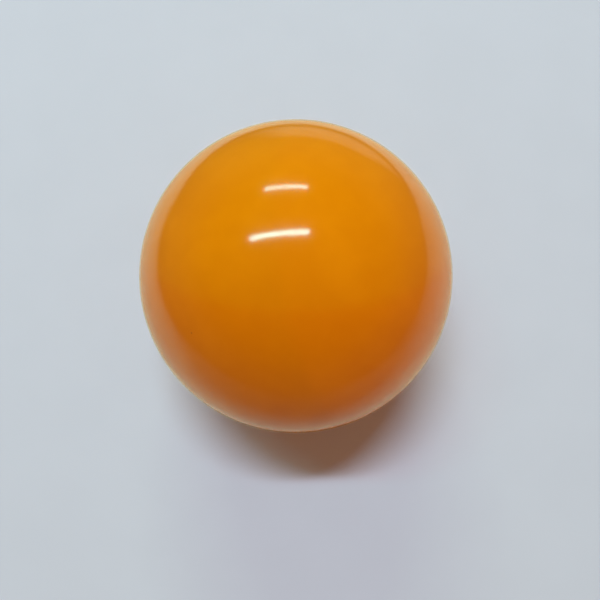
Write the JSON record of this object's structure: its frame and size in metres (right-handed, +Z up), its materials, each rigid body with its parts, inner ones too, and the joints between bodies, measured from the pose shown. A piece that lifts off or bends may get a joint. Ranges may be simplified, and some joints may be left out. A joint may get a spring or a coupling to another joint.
{
  "type": "billiard ball",
  "caption": "Plain glossy orange billiard ball: a coloured resin shell cast round a centred core, ground round and polished.",
  "frame": {"origin": "centre of the ball", "axes": "+Z up, away from the table; +X and +Y level, with no direction of their own on a plain ball"},
  "size_m": [0.0616, 0.0616, 0.0616],
  "materials": {
    "shell_resin": "cast coloured resin, ground and polished to a high gloss",
    "core_resin": "filled resin, as cast"
  },
  "bodies": {
    "root": {"core": "core_resin", "shell": "shell_resin", "centring_peg_1": "shell_resin", "centring_peg_2": "shell_resin", "centring_peg_3": "shell_resin", "centring_peg_4": "shell_resin"}
  },
  "joints": []
}
